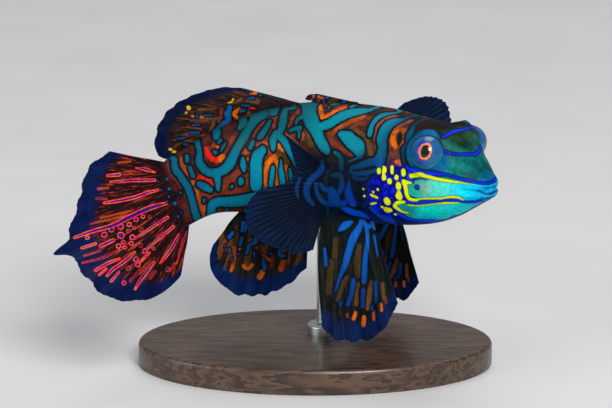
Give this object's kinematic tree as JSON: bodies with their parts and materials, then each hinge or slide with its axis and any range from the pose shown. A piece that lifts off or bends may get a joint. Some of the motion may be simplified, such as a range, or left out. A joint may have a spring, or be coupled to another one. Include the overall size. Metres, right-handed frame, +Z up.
{
  "type": "mandarinfish model",
  "caption": "Life-size mandarinfish, bent to one side with its fins spread, held by a rod on an oval display base.",
  "frame": {"origin": "centre of the model's box in X and Y, at the underside of the stand's base", "axes": "+Z up, +X to the fish's head end, -Y the side that the picture is taken from"},
  "size_m": [0.0532, 0.0304, 0.0365],
  "materials": {
    "skin": "moist scaleless skin, teal bands edged in black on orange-brown",
    "fin": "moist fin membrane over rays, deep blue margin",
    "eye": "wet and polished",
    "stand_wood": "dark stained and satin varnished",
    "stand_steel": "fine brushed"
  },
  "bodies": {
    "root": {"head": "skin", "torso": "skin", "tail": "skin", "eye_left": "eye", "eye_right": "eye", "fin_caudal": "fin", "fin_dorsal_first": "fin", "fin_dorsal_second": "fin", "fin_anal": "fin", "fin_pectoral_right": "fin", "fin_pectoral_left": "fin", "fin_pelvic_right": "fin", "fin_pelvic_left": "fin", "stand_base": "stand_wood", "stand_rod": "stand_steel"}
  },
  "joints": []
}
